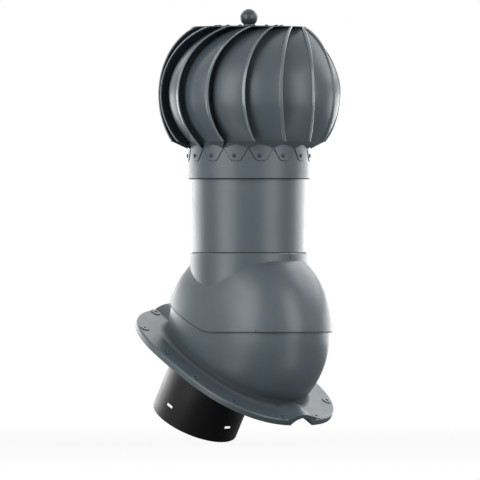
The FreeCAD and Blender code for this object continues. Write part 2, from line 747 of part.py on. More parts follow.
def shaft_nut():
    """Hexagon nut under the lower bearing."""
    top = lower_bearing_foot - WASHER_THICKNESS
    corner = NUT_ACROSS_FLATS / math.sqrt(3)
    points = [
        Vector(corner * math.cos(math.radians(a)), corner * math.sin(math.radians(a)), top)
        for a in range(0, 361, 60)
    ]
    nut = Part.Face(Part.makePolygon(points)).extrude(Vector(0, 0, -NUT_THICKNESS))
    nut = nut.cut(cylinder(shaft_seat, top - NUT_THICKNESS, top))
    return moved(nut, pivot)


def rotor_collar():
    """Skirt under the blades, with a hole for each blade's rivet."""
    skirt = ring(skirt_radius, skirt_radius - SKIRT_THICKNESS, 0, SKIRT_HEIGHT)
    skirt = skirt.cut(around(collar_rivet_shank(RIVET_RADIUS + LAP_GAP), BLADE_COUNT))
    return on_turbine(skirt)


def on_turbine(shape):
    """Shape drawn above the skirt's lower edge, set in place with the first blade's azimuth."""
    return moved(turned(shape, FIRST_BLADE_AZIMUTH), pivot + UP * skirt_foot)


def collar_rivet_shank(radius):
    """Level cylinder through skirt and tab, in the first blade's axes."""
    inner = skirt_radius - SKIRT_THICKNESS - RIVET_TAIL_LENGTH
    shank = Part.makeCylinder(
        radius, tab_outside + LAP_GAP - inner, Vector(inner, 0, TAB_RIVET_HEIGHT), Vector(1, 0, 0)
    )
    return turned(shank, TAB_RIVET_ANGLE)


def collar_rivets():
    head = Part.makeCone(
        RIVET_HEAD_RADIUS,
        RIVET_RADIUS,
        RIVET_HEAD_HEIGHT,
        Vector(tab_outside + LAP_GAP, 0, TAB_RIVET_HEIGHT),
        Vector(1, 0, 0),
    )
    rivet = collar_rivet_shank(RIVET_RADIUS).fuse(turned(head, TAB_RIVET_ANGLE))
    return on_turbine(Part.makeCompound(around(rivet.removeSplitter(), BLADE_COUNT)))


def blade_edge(height):
    """Outer edge's distance along X and its slope, from the arc that the whole turbine spins out."""
    rise = height - EQUATOR_HEIGHT
    drop = math.sqrt(BLADE_ARC_RADIUS**2 - rise**2)
    radius = blade_arc_centre + drop
    x = math.sqrt(radius**2 - BLADE_OUTER_OFFSET**2)
    return x, -rise / drop * radius / x


def section_lines(height):
    """Outer and inner line of a blade's section, bulging away from the shaft."""
    x, slope = blade_edge(height)
    share = (height - EQUATOR_HEIGHT) / (TOP_DISC_HEIGHT - EQUATOR_HEIGHT)
    swell = 1 - share**2
    lift = BLADE_INNER_LIFT * swell
    bulge = BLADE_BULGE * swell
    depth = BLADE_THICKNESS * math.sqrt(1 + slope**2)
    middle = (BLADE_INNER_OFFSET + BLADE_OUTER_OFFSET) / 2
    outer = [
        Vector(x, BLADE_OUTER_OFFSET, height),
        Vector(x + lift / 2 + bulge, middle, height),
        Vector(x + lift, BLADE_INNER_OFFSET, height),
    ]
    return outer, [point - Vector(depth, 0, 0) for point in outer]


def blade_section(height):
    """Closed wire round a blade's thin section."""
    outer, inner = section_lines(height)
    edges = [bowed(*outer), Part.makeLine(outer[2], inner[2])]
    edges += [bowed(*reversed(inner)), Part.makeLine(inner[0], outer[0])]
    return Part.Wire(edges)


def bowed(start, middle, end):
    """Arc through three points, or a line where they are in line."""
    if (middle - (start + end) * 0.5).Length < LAP_GAP:
        return Part.makeLine(start, end)
    return Part.Arc(start, middle, end).toShape()


def on_skirt(radius, offset, height):
    """Point on a cylinder, a distance round it from the middle of the first tab."""
    angle = math.radians(TAB_MIDDLE_ANGLE) + offset / tab_outside
    return Vector(radius * math.cos(angle), radius * math.sin(angle), height)


def tab_arch(radius):
    """Three points along the arched bend between blade and tab."""
    half = TAB_WIDTH / 2
    places = [(half, TAB_CORNER_HEIGHT), (0, TAB_ARCH_HEIGHT), (-half, TAB_CORNER_HEIGHT)]
    return [on_skirt(radius, offset, height) for offset, height in places]


def blade_neck():
    """Sheet between the foot of the strip and the arched bend, all its faces ruled."""
    top_out, top_in = section_lines(BLADE_TIP_HEIGHT)
    bend_out, bend_in = tab_arch(tab_outside), tab_arch(tab_inside)
    loops = [bowed(*line) for line in (top_out, top_in, bend_in, bend_out)]
    faces = [Part.makeRuledSurface(a, b) for a, b in zip(loops, loops[1:] + loops[:1])]
    for end in (0, 2):
        corners = [line[end] for line in (top_out, top_in, bend_in, bend_out)]
        sides = Part.makeLine(corners[0], corners[1]), Part.makeLine(corners[3], corners[2])
        faces.append(Part.makeRuledSurface(*sides))
    shell = Part.Shell(faces)
    shell.sewShape()
    return Part.Solid(shell)


def lower_tab():
    """Tab that lies on the skirt: arched top, slanted sides, rounded foot."""
    half = TAB_WIDTH / 2
    foot = TAB_FOOT_WIDTH / 2
    left, right = Vector(0, -half, TAB_CORNER_HEIGHT), Vector(0, half, TAB_CORNER_HEIGHT)
    crown = Vector(0, 0, TAB_ARCH_HEIGHT + BLADE_THICKNESS)
    toe = TAB_FOOT_HEIGHT + foot / 4
    toe_left, toe_right = Vector(0, -foot, toe), Vector(0, foot, toe)
    edges = [
        Part.Arc(left, crown, right).toShape(),
        Part.makeLine(right, toe_right),
        Part.Arc(toe_right, Vector(0, 0, TAB_FOOT_HEIGHT), toe_left).toShape(),
        Part.makeLine(toe_left, left),
    ]
    outline = Part.Face(Part.Wire(edges)).extrude(Vector(2 * skirt_radius, 0, 0))
    sheet = ring(tab_outside, tab_inside, 0, 2 * SKIRT_HEIGHT)
    tab = sheet.common(turned(outline, TAB_MIDDLE_ANGLE))
    return tab.cut(collar_rivet_shank(RIVET_RADIUS + LAP_GAP))


def top_tab():
    """Tab bent in under the top disc, with its rivet hole."""
    root = blade_edge(TOP_DISC_HEIGHT)[0]
    narrow = (TOP_TAB_FAR - TOP_TAB_NEAR) / 4
    low = TOP_DISC_HEIGHT - BLADE_THICKNESS
    corners = [
        Vector(root, TOP_TAB_NEAR, low),
        Vector(root - TOP_TAB_REACH, TOP_TAB_NEAR + narrow, low),
        Vector(root - TOP_TAB_REACH, TOP_TAB_FAR - narrow, low),
        Vector(root, TOP_TAB_FAR, low),
        Vector(root, TOP_TAB_NEAR, low),
    ]
    tab = Part.Face(Part.makePolygon(corners)).extrude(Vector(0, 0, BLADE_THICKNESS))
    return tab.cut(top_rivet_shank(RIVET_RADIUS + LAP_GAP))


def blade():
    """One blade in its own axes, with the shaft at the origin and X square to the strip."""
    reach_down = math.asin((EQUATOR_HEIGHT - BLADE_TIP_HEIGHT) / BLADE_ARC_RADIUS)
    reach_up = math.asin((TOP_DISC_HEIGHT - EQUATOR_HEIGHT) / BLADE_ARC_RADIUS)
    sections = []
    for step in range(BLADE_STEPS + 1):
        angle = -reach_down + (reach_up + reach_down) * step / BLADE_STEPS
        sections.append(blade_section(EQUATOR_HEIGHT + BLADE_ARC_RADIUS * math.sin(angle)))
    strip = Part.makeLoft(sections, True, False)
    whole = strip.fuse([blade_neck(), lower_tab(), top_tab()])
    return whole.removeSplitter().Solids[0]


def top_rivet_shank(radius):
    """Upright cylinder through the top tab and both discs."""
    x = math.sqrt(TOP_RIVET_CIRCLE**2 - TOP_RIVET_SIDE**2)
    low = TOP_DISC_HEIGHT - BLADE_THICKNESS - RIVET_TAIL_LENGTH
    high = TOP_DISC_HEIGHT + TOP_DISC_THICKNESS + COVER_DISC_THICKNESS
    return cylinder(radius, low, high, x, TOP_RIVET_SIDE)


def top_rivets():
    x = math.sqrt(TOP_RIVET_CIRCLE**2 - TOP_RIVET_SIDE**2)
    high = TOP_DISC_HEIGHT + TOP_DISC_THICKNESS + COVER_DISC_THICKNESS
    head = Part.makeCone(
        RIVET_HEAD_RADIUS, RIVET_RADIUS, RIVET_HEAD_HEIGHT, Vector(x, TOP_RIVET_SIDE, high)
    )
    rivet = top_rivet_shank(RIVET_RADIUS).fuse(head).removeSplitter()
    return on_turbine(Part.makeCompound(around(rivet, BLADE_COUNT)))


def drilled_disc(radius, low, thickness):
    """Disc with the shaft's hole and the rivets' holes."""
    disc = cylinder(radius, low, low + thickness)
    disc = disc.cut(cylinder(shaft_seat, low, low + thickness))
    disc = disc.cut(around(top_rivet_shank(RIVET_RADIUS + LAP_GAP), BLADE_COUNT))
    return on_turbine(disc)


def hub_washer():
    washer = ring(HUB_WASHER_RADIUS, shaft_seat, top_disc_foot - HUB_WASHER_THICKNESS, top_disc_foot)
    return moved(washer, pivot)


def ball_nut():
    """Ball with a short neck, screwed on the shaft's top."""
    ball = Part.makeSphere(BALL_RADIUS, Vector(0, 0, ball_centre))
    ball = ball.fuse(cylinder(BALL_NECK_RADIUS, cover_top, ball_centre))
    ball = ball.cut(cylinder(shaft_seat, cover_foot, ball_centre + FIT_GAP))
    return moved(ball.removeSplitter(), pivot)


def main():
    os.makedirs("parts", exist_ok=True)
    save("base_shell", base_shell())
    save("spigot_pipe", spigot_pipe())
    save("spigot_seal", spigot_seal())
    save("spigot_screws", spigot_screws())
    save("roof_gasket", roof_gasket())
    save("pivot_screw_left", pivot_screw(-1))
    save("pivot_screw_right", pivot_screw(1))

    save("upper_shell", upper_shell())
    save("riser_pipe", riser_pipe())
    save("inner_duct", inner_duct())
    save("insulation_sleeve", insulation_sleeve())
    save("riser_cap_ring", riser_cap_ring())
    save("pivot_bush_left", pivot_bush(-1))
    save("pivot_bush_right", pivot_bush(1))
    save("bearing_bracket", bearing_bracket())
    save("bracket_screws", bracket_screws())
    save("bearing_housing", bearing_housing())
    save("housing_screws", housing_screws())
    save("lower_bearing_outer_ring", bearing_outer_ring(lower_bearing_foot))
    save("upper_bearing_outer_ring", bearing_outer_ring(upper_bearing_foot))
    save("housing_circlip", housing_circlip())

    save("shaft", shaft())
    save("lower_bearing_inner_ring", bearing_inner_ring(lower_bearing_foot))
    save("upper_bearing_inner_ring", bearing_inner_ring(upper_bearing_foot))
    save("bearing_spacer", bearing_spacer())
    save("rain_slinger", rain_slinger())
    save("shaft_washer", shaft_washer())
    save("shaft_nut", shaft_nut())
    save("rotor_collar", rotor_collar())
    one_blade = blade()
    for index in range(BLADE_COUNT):
        turn = turned(one_blade, blade_pitch * index)
        save("blade_%02d" % (index + 1), on_turbine(turn))
    save("collar_rivets", collar_rivets())
    save("hub_washer", hub_washer())
    save("top_disc", drilled_disc(TOP_DISC_RADIUS, TOP_DISC_HEIGHT, TOP_DISC_THICKNESS))
    cover_low = TOP_DISC_HEIGHT + TOP_DISC_THICKNESS
    save("cover_disc", drilled_disc(COVER_DISC_RADIUS, cover_low, COVER_DISC_THICKNESS))
    save("top_rivets", top_rivets())
    save("ball_nut", ball_nut())


main()
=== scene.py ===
import json
import math

import bpy
from mathutils import Matrix, Vector


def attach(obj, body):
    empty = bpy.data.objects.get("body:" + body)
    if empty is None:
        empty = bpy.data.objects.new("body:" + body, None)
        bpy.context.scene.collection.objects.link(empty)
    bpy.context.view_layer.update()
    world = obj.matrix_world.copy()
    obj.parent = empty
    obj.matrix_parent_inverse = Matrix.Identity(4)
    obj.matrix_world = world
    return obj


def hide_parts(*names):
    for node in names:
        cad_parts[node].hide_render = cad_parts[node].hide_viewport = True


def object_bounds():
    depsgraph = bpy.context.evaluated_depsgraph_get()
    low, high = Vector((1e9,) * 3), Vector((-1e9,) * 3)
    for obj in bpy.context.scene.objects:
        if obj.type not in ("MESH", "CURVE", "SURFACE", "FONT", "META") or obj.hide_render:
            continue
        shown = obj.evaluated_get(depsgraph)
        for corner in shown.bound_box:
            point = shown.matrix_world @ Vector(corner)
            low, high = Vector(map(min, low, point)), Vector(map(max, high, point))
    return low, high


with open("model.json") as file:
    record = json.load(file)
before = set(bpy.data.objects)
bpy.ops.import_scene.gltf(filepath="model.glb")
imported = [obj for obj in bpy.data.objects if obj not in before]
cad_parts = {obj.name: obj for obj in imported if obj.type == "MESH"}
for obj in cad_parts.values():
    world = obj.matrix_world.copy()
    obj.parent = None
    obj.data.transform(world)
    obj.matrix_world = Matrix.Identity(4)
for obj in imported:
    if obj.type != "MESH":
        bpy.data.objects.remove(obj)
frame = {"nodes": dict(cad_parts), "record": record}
cad_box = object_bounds()

# Places in the part's frame, in metres
ROOF_PITCH = math.radians(30)
PIVOT = Vector((0.057583, 0, 0.037537))
SKIRT_FOOT = 0.25229

# The blades, in metres, with heights from the skirt's lower edge
BLADE_COUNT = 15
FIRST_BLADE = math.radians(-104.7)
BLADE_TIP = 0.0512
EQUATOR = 0.1167
TOP_DISC = 0.2114
# The arc that the outer edges turn on, its centre's distance from the shaft's axis
ARC_RADIUS = 0.1165
ARC_CENTRE = 0.0109
# A blade's outer and inner edge, to the side of the shaft's axis
OUTER_OFFSET = 0.0693
INNER_OFFSET = 0.0165
# How far the inner edge stands out past the outer one, and the blade's bulge between them
INNER_LIFT = 0.0063
BULGE = 0.0056

# The hem on a blade's outer edge: how far it stops short of the blade's ends, and its section,
# measured inwards along the blade and out of its face
HEM_INSET = 0.0006
HEM_STEPS = 72
HEM_SHARP = 38
HEM_PROFILE = (
    (0.0002, -0.00075),
    (0.0002, -0.0003),
    (0.0042, -0.0003),
    (0.0041, 0.001),
    (0.0037, 0.0013),
    (0.0009, 0.0014),
    (0.0001, 0.0015),
    (-0.0005, 0.0011),
    (-0.0008, 0.0003),
    (-0.0006, -0.0005),
    (-0.0002, -0.0009),
)

# Painted shade: the dark line beside a hem
HEM_SHADE_STEPS = 48
HEM_SHADE_ACROSS = (0.0041, 0.0049)
HEM_SHADE_THROUGH = (-0.0004, 0.00025)

# The tabs that lie on the skirt: a foot that narrows to a round toe, with a painted shadow line about it
SKIRT_RADIUS = 0.085
TAB_OUTSIDE = 0.08585
TAB_MIDDLE = math.radians(23.2)
TAB_HALF = 0.0165
TAB_CORNER = 0.0409
TAB_SIDE_STEPS = 8
TOE_HALF = 0.0075
TOE_SIDE = 0.025975
TOE_FOOT = 0.0241
TOE_STEPS = 12
TAB_SHADOW_ACROSS = (-0.0001, 0.0008)
TAB_SHADOW_THROUGH = (-0.0002, 0.0003)

# The blind rivets, and their places on a blade
RIVET_STEPS = 28
RIVET_HEAD = 0.0028
RIVET_RIM = 0.0002
RIVET_DOME = 0.0014
DOME_STEPS = 6
DOME_SPREAD = 0.8
PIT_RADIUS = 0.00074
PIT_FLOOR_RADIUS = 0.0006
PIT_DEPTH = 0.0005
SHANK_RADIUS = 0.0015
TAIL_RADIUS = 0.0014
TAIL_CHAMFER = 0.0002
SKIRT_RIVET_ANGLE = math.radians(21.4)
SKIRT_RIVET_HEIGHT = 0.0313
SKIRT_RIVET_TAIL = 0.0022
TOP_RIVET_CIRCLE = 0.046
TOP_RIVET_SIDE = 0.032
TOP_RIVET_TAIL = 0.003
COVER_TOP = 0.2132

# The drum's lower shell about the pivot: (radius / R)^e + (across / W)^e = 1
DRUM_RADIUS = 0.125
DRUM_HALF_WIDTH = 0.086
DRUM_EXPONENT = 2.41
FLANGE_TOP = -0.0527

# The seam above it, level downhill and rising uphill, with a dark trim that is painted shadow under the upper
# shell's rim
SEAM_LIFT = 0.0006
SEAM_RISE = math.radians(23.3)
SEAM_ROUNDING = 0.065
SEAM_STEPS = 240
SEAM_HALVINGS = 40
SEAM_SHADE_ACROSS = (-0.0002, 0.0015)
SEAM_SHADE_THROUGH = (0.0001, 0.0034)

# Dark lips turned about the upright axis, their black painted shade at the joints, as radius and height: on
# the neck, above the pivot, and inside the skirt, above the skirt's foot
LIP_STEPS = 160
LIP_SHARP = 50
NECK_SEAL_SHADE = (
    (0.0783, 0.1098),
    (0.0795, 0.1101),
    (0.0797, 0.1108),
    (0.0792, 0.1113),
    (0.0785, 0.1113),
    (0.0783, 0.1109),
)
SKIRT_SHADE_LIP = (
    (0.0838, -0.0014),
    (0.0847, -0.0012),
    (0.0848, -0.0002),
    (0.0841, 0.0),
    (0.0841, 0.003),
    (0.0836, 0.003),
)


# Meshes


def new_object(name, verts, faces, material):
    """Smooth-shaded mesh object with one material."""
    mesh = bpy.data.meshes.new(name)
    mesh.from_pydata([tuple(v) for v in verts], [], faces)
    mesh.validate()
    mesh.update()
    mesh.polygons.foreach_set("use_smooth", [True] * len(mesh.polygons))
    obj = bpy.data.objects.new(name, mesh)
    bpy.context.scene.collection.objects.link(obj)
    mesh.materials.append(material)
    return obj


def gather(name, shapes, material, sharp=35):
    """One object from several shapes, with edges above the sharp angle, in degrees, kept crisp."""
    verts, faces = [], []
    for more_verts, more_faces in shapes:
        first = len(verts)
        verts += more_verts
        faces += [tuple(first + i for i in face) for face in more_faces]
    obj = new_object(name, verts, faces, material)
    obj.data.set_sharp_from_angle(angle=math.radians(sharp))
    return obj


def placed(shape, matrix):
    """A shape, as points and faces, moved by a matrix."""
    verts, faces = shape
    return [matrix @ vert for vert in verts], faces


def strip(across, through):
    """Section of a thin bar, from its limits along the side and out ways."""
    (left, right), (low, high) = across, through
    return [(left, low), (right, low), (right, high), (left, high)]


def sweep(section, points, sides, outs, closed=False):
    """Bar along points, its section laid off along the side and out ways. Open ends are capped."""
    size, stops = len(section), len(points)
    verts = [at + side * s + out * n for at, side, out in zip(points, sides, outs) for s, n in section]
    faces = []
    for stop in range(stops if closed else stops - 1):
        here, ahead = stop * size, (stop + 1) % stops * size
        for k in range(size):
            after = (k + 1) % size
            faces.append((here + k, here + after, ahead + after, ahead + k))
    if not closed:
        faces.append(tuple(reversed(range(size))))
        faces.append(tuple(range(len(verts) - size, len(verts))))
    return verts, faces


def lathe(profile, around, closed=False):
    """Profile of (radius, height) pairs turned about Z: a ring if it closes, otherwise capped."""
    size = len(profile)
    verts, faces = [], []
    for stop in range(around):
        angle = 2 * math.pi * stop / around
        verts += [Vector((r * math.cos(angle), r * math.sin(angle), z)) for r, z in profile]
        here, ahead = stop * size, (stop + 1) % around * size
        for k in range(size if closed else size - 1):
            after = (k + 1) % size
            faces.append((here + k, ahead + k, ahead + after, here + after))
    if not closed:
        faces.append(tuple(stop * size for stop in reversed(range(around))))
        faces.append(tuple(stop * size + size - 1 for stop in range(around)))
    return verts, faces


# Materials

# Broad clouds of colour and patches of roughness: noise scales per metre, and how far each drifts
CLOUD_SCALE = 9.0
COLOUR_DRIFT = 0.06
PATCH_SCALE = 31.0
ROUGH_DRIFT = 0.035
# How many times finer the second grain of a bump is
FINER_GRAIN = 3.7

# Painted shade at the drum's foot, darker and rougher where the drum meets the flange: its reach off the
# drum's face, as the drum's own formula counts it, its reach above the flange in metres, and what it does
SHADE_OFF_DRUM = (1.06, 1.24)
SHADE_ABOVE_FLANGE = (0.003, 0.03)
SHADE_FALL = 1.6
SHADE_DARKENS_TO = 0.1
SHADE_DULLS_BY = 0.5

# The Mix node's colour sockets share their names with others, so they go by number
MIX_SHARE, MIX_FIRST, MIX_SECOND, MIX_RESULT = 0, 6, 7, 2


def set_range(node, start, end, low, high):
    """Sets a Map Range node to turn start and end into low and high."""
    for key, value in zip(("From Min", "From Max", "To Min", "To Max"), (start, end, low, high)):
        node.inputs[key].default_value = value


def tinted(colour, factor):
    return tuple(channel * factor for channel in colour)


class Nodes:
    """Short way to lay out one material's nodes."""

    def __init__(self, name):
        self.material = bpy.data.materials.new(name)
        self.material.use_nodes = True
        self.tree = self.material.node_tree
        self.shader = self.tree.nodes["Principled BSDF"]
        self.place = self.add("ShaderNodeTexCoord").outputs["Object"]

    def add(self, kind, **values):
        node = self.tree.nodes.new(kind)
        for key, value in values.items():
            if isinstance(value, (int, float, tuple)) and key in node.inputs:
                node.inputs[key].default_value = value
            else:
                setattr(node, key, value)
        return node

    def link(self, source, socket):
        self.tree.links.new(source, socket)

    def calculate(self, operation, *values):
        node = self.add("ShaderNodeMath", operation=operation)
        for socket, value in zip(node.inputs, values):
            if isinstance(value, (int, float)):
                socket.default_value = value
            else:
                self.link(value, socket)
        return node.outputs[0]

    def noise(self, scale, detail=3.0, rough=0.5, stretch=None):
        node = self.add("ShaderNodeTexNoise", Scale=scale, Detail=detail, Roughness=rough)
        place = self.place
        if stretch:
            mapping = self.add("ShaderNodeMapping", Scale=stretch)
            self.link(place, mapping.inputs["Vector"])
            place = mapping.outputs["Vector"]
        self.link(place, node.inputs["Vector"])
        return node.outputs["Fac"]

    def spread(self, source, low, high, start=0.3, end=0.7):
        node = self.add("ShaderNodeMapRange")
        set_range(node, start, end, low, high)
        self.link(source, node.inputs["Value"])
        return node.outputs["Result"]

    def ramp(self, source, dark, light, start=0.35, end=0.65):
        node = self.add("ShaderNodeValToRGB")
        for element, position, colour in zip(node.color_ramp.elements, (start, end), (dark, light)):
            element.position = position
            element.color = (*colour, 1)
        self.link(source, node.inputs["Fac"])
        return node.outputs["Color"]

    def bump(self, source, distance, strength=1.0, below=None):
        node = self.add("ShaderNodeBump", Strength=strength, Distance=distance)
        self.link(source, node.inputs["Height"])
        if below:
            self.link(below, node.inputs["Normal"])
        self.link(node.outputs["Normal"], self.shader.inputs["Normal"])
        return node.outputs["Normal"]

    def clouds(self, colour, drift=COLOUR_DRIFT):
        """The colour, a little darker and lighter in broad clouds."""
        return self.ramp(self.noise(CLOUD_SCALE, 4.0), tinted(colour, 1 - drift), tinted(colour, 1 + drift))

    def patches(self, rough):
        """The roughness, a little lower and higher from patch to patch."""
        return self.spread(self.noise(PATCH_SCALE, 5.0, 0.6), rough - ROUGH_DRIFT, rough + ROUGH_DRIFT)

    def grained(self, grain, depth):
        """Bump of a grain with a finer, shallower one on it."""
        first = self.bump(self.noise(grain, 2.0, 0.5), depth)
        self.bump(self.noise(grain * FINER_GRAIN, 2.0, 0.55), depth / 4, below=first)

    def feed(self, **sources):
        """Links what varies over the surface to the shader's sockets."""
        for key, source in sources.items():
            self.link(source, self.shader.inputs[key.replace("_", " ")])

    def set(self, **values):
        """Sets what is the same all over on the shader's own sockets."""
        for key, value in values.items():
            self.shader.inputs[key.replace("_", " ")].default_value = value


def satin(name, colour, rough, grain, depth, drift=COLOUR_DRIFT, specular=0.5, coat=0.0):
    """Even satin skin with a fine grain: moulded plastic or powder coat."""
    n = Nodes(name)
    n.feed(Base_Color=n.clouds(colour, drift), Roughness=n.patches(rough))
    n.grained(grain, depth)
    n.set(Specular_IOR_Level=specular)
    if coat:
        n.set(Coat_Weight=coat, Coat_Roughness=0.22)
    return n.material


def painted_shade_at_foot(n):
    """Share of painted shade, from 0 to 1 where the drum's foot meets the flange, in the roof's own axes."""
    turned = n.add("ShaderNodeMapping")
    turned.inputs["Rotation"].default_value = (0, -ROOF_PITCH, 0)
    turned.inputs["Location"].default_value = Matrix.Rotation(-ROOF_PITCH, 3, "Y") @ -PIVOT
    axes = n.add("ShaderNodeSeparateXYZ")
    n.link(n.place, turned.inputs["Vector"])
    n.link(turned.outputs["Vector"], axes.inputs[0])
    x, y, z = axes.outputs
    squares = n.calculate("ADD", n.calculate("MULTIPLY", x, x), n.calculate("MULTIPLY", z, z))
    around = n.calculate("DIVIDE", n.calculate("SQRT", squares), DRUM_RADIUS)
    around = n.calculate("POWER", around, DRUM_EXPONENT)
    across = n.calculate("DIVIDE", n.calculate("ABSOLUTE", y), DRUM_HALF_WIDTH)
    off_drum = n.calculate("ADD", around, n.calculate("POWER", across, DRUM_EXPONENT))
    near = n.spread(off_drum, 1.0, 0.0, *SHADE_OFF_DRUM)
    low = n.spread(z, 1.0, 0.0, *(FLANGE_TOP + rise for rise in SHADE_ABOVE_FLANGE))
    return n.calculate("MULTIPLY", near, n.calculate("POWER", low, SHADE_FALL))


def base_material(name, colour, rough, grain, depth):
    """Shell plastic with painted shade that darkens its colour towards the drum's foot, where it also turns
    rougher.
    """
    n = Nodes(name)
    foot_shade = painted_shade_at_foot(n)
    mix = n.add("ShaderNodeMix", data_type="RGBA")
    n.link(foot_shade, mix.inputs[MIX_SHARE])
    n.link(n.clouds(colour), mix.inputs[MIX_FIRST])
    # The second colour is painted shade: the graphite darkened where the drum meets the flange
    mix.inputs[MIX_SECOND].default_value = (*tinted(colour, SHADE_DARKENS_TO), 1)
    duller = n.calculate("MULTIPLY", foot_shade, SHADE_DULLS_BY)
    n.feed(Base_Color=mix.outputs[MIX_RESULT], Roughness=n.calculate("ADD", n.patches(rough), duller))
    n.grained(grain, depth)
    return n.material


def brushed(name, colour, rough, stretch, depth):
    """Turned or brushed metal, with its grain along one way."""
    n = Nodes(name)
    lines = n.noise(60.0, 6.0, 0.65, stretch=stretch)
    tones = n.ramp(lines, tinted(colour, 0.86), tinted(colour, 1.1))
    n.feed(Base_Color=tones, Roughness=n.spread(lines, rough - 0.07, rough + 0.08))
    n.bump(lines, depth, 0.5)
    n.set(Metallic=1.0)
    return n.material


def foam_material(name, colour):
    """Closed-cell foam."""
    n = Nodes(name)
    cells = n.add("ShaderNodeTexVoronoi", Scale=900.0)
    n.link(n.place, cells.inputs["Vector"])
    depth = cells.outputs["Distance"]
    n.feed(Base_Color=n.ramp(depth, tinted(colour, 0.55), tinted(colour, 1.2), 0.1, 0.7))
    n.bump(depth, 0.0006, 0.8)
    n.set(Roughness=0.93)
    return n.material


def cast_material(name, colour):
    """Cast metal with a fine sand skin."""
    n = Nodes(name)
    tones = n.ramp(n.noise(45.0, 5.0, 0.6), tinted(colour, 0.85), tinted(colour, 1.1))
    n.feed(Base_Color=tones, Roughness=n.spread(n.noise(120.0, 3.0), 0.42, 0.58))
    n.bump(n.noise(1400.0, 4.0, 0.6), 0.00012, 0.7)
    n.set(Metallic=1.0)
    return n.material


GRAPHITE = (0.063, 0.084, 0.099)
# Painted highlight: the hems' graphite is lighter than the blades' own
HEM_HIGHLIGHT_GRAPHITE = tinted(GRAPHITE, 1.35)
BALL_GRAPHITE = (0.03, 0.039, 0.047)
RIVET_GREY = (0.02, 0.025, 0.029)
DUCT_BLACK = (0.0075, 0.0075, 0.0078)
RUBBER_BLACK = (0.012, 0.012, 0.012)
# Black for painted shade lines: beside the hems, round the tabs and under the skirt
SHADE_BLACK = (0.006, 0.0065, 0.007)
WHITE = (0.66, 0.66, 0.62)
FOAM_GREY = (0.03, 0.031, 0.033)
STEEL = (0.56, 0.56, 0.55)
BEARING_STEEL = (0.62, 0.62, 0.62)
CAST_GREY = (0.5, 0.51, 0.52)

shell_skin = satin("shell_skin", GRAPHITE, rough=0.37, grain=2600.0, depth=0.00002)
base_skin = base_material("base_skin", GRAPHITE, rough=0.37, grain=2600.0, depth=0.00002)
coat_skin = satin("coat_skin", GRAPHITE, rough=0.37, grain=1500.0, depth=0.00003, specular=0.42)
duct_skin = satin(
    "duct_skin", DUCT_BLACK, rough=0.42, grain=2300.0, depth=0.00003, drift=0.15, specular=0.35
)
rubber_skin = satin("rubber_skin", RUBBER_BLACK, rough=0.72, grain=1800.0, depth=0.00005, drift=0.2)
white_skin = satin("white_skin", WHITE, rough=0.45, grain=2600.0, depth=0.00002)
foam_skin = foam_material("foam_skin", FOAM_GREY)
steel_skin = brushed("steel_skin", STEEL, rough=0.32, stretch=(30.0, 30.0, 2.0), depth=0.00003)
bearing_skin = brushed("bearing_skin", BEARING_STEEL, rough=0.17, stretch=(2.0, 2.0, 40.0), depth=0.00001)
cast_skin = cast_material("cast_skin", CAST_GREY)
rivet_skin = satin("rivet_skin", RIVET_GREY, rough=0.28, grain=2200.0, depth=0.00002, specular=0.4)
# Painted highlight: lighter, glossier copy of the blades' graphite for the hems
hem_highlight_skin = satin("hem_highlight_skin", HEM_HIGHLIGHT_GRAPHITE, rough=0.25, grain=1500.0, depth=0.00002, coat=0.6)
ball_skin = satin("ball_skin", BALL_GRAPHITE, rough=0.34, grain=2600.0, depth=0.00001, drift=0.03)
# Painted shade: near-black skin for dark strips that stand where shade falls
painted_shade_skin = satin("painted_shade_skin", SHADE_BLACK, rough=0.6, grain=2200.0, depth=0.00002, drift=0.15, specular=0.2)

SKINS = {
    "shell_plastic": shell_skin,
    "duct_plastic": duct_skin,
    "rubber": rubber_skin,
    "foam": foam_skin,
    "steel": steel_skin,
    "bearing_steel": bearing_skin,
    "white_plastic": white_skin,
    "cast_aluminium": cast_skin,
    "coated_aluminium": coat_skin,
    "rivet_aluminium": rivet_skin,
}
for part in frame["record"]["subparts"]:
    node = frame["nodes"][part["node"]]
    node.data.materials.clear()
    node.data.materials.append(SKINS[part["material_slot"]])
frame["nodes"]["ball_nut"].data.materials[0] = ball_skin
frame["nodes"]["base_shell"].data.materials[0] = base_skin


# Turbine


def on_every_blade(shape):
    """Copies of a shape, given in one blade's own axes, at all the blades."""
    foot = Matrix.Translation((PIVOT.x, PIVOT.y, SKIRT_FOOT))
    copies = []
    for index in range(BLADE_COUNT):
        turn = Matrix.Rotation(FIRST_BLADE + index * 2 * math.pi / BLADE_COUNT, 4, "Z")
        copies.append(placed(shape, foot @ turn))
    return copies


def blade_line(height):
    """Outer edge of a blade's outer face at a height: its place, and the ways inwards and out."""
    rise = height - EQUATOR
    drop = math.sqrt(ARC_RADIUS**2 - rise**2)
    radius = ARC_CENTRE + drop
    x = math.sqrt(radius**2 - OUTER_OFFSET**2)
    slope = -rise / drop * radius / x
    swell = 1 - (rise / (TOP_DISC - EQUATOR)) ** 2
    chord = OUTER_OFFSET - INNER_OFFSET
    lean = math.atan2(INNER_LIFT * swell, chord) + 2 * math.atan2(BULGE * swell, chord)
    place = Vector((x, OUTER_OFFSET, height))
    up = Vector((slope, 0, 1)).normalized()
    along = Vector((math.sin(lean), -math.cos(lean), 0))
    return place, along, up.cross(along).normalized()


def blade_edge(steps):
    """Places along a blade's outer edge, evenly spaced on its arc, with their inward and out ways."""
    ends = (BLADE_TIP + HEM_INSET, TOP_DISC - HEM_INSET)
    start, end = (math.asin((height - EQUATOR) / ARC_RADIUS) for height in ends)
    heights = [EQUATOR + ARC_RADIUS * math.sin(start + (end - start) * k / steps) for k in range(steps + 1)]
    return zip(*(blade_line(height) for height in heights))


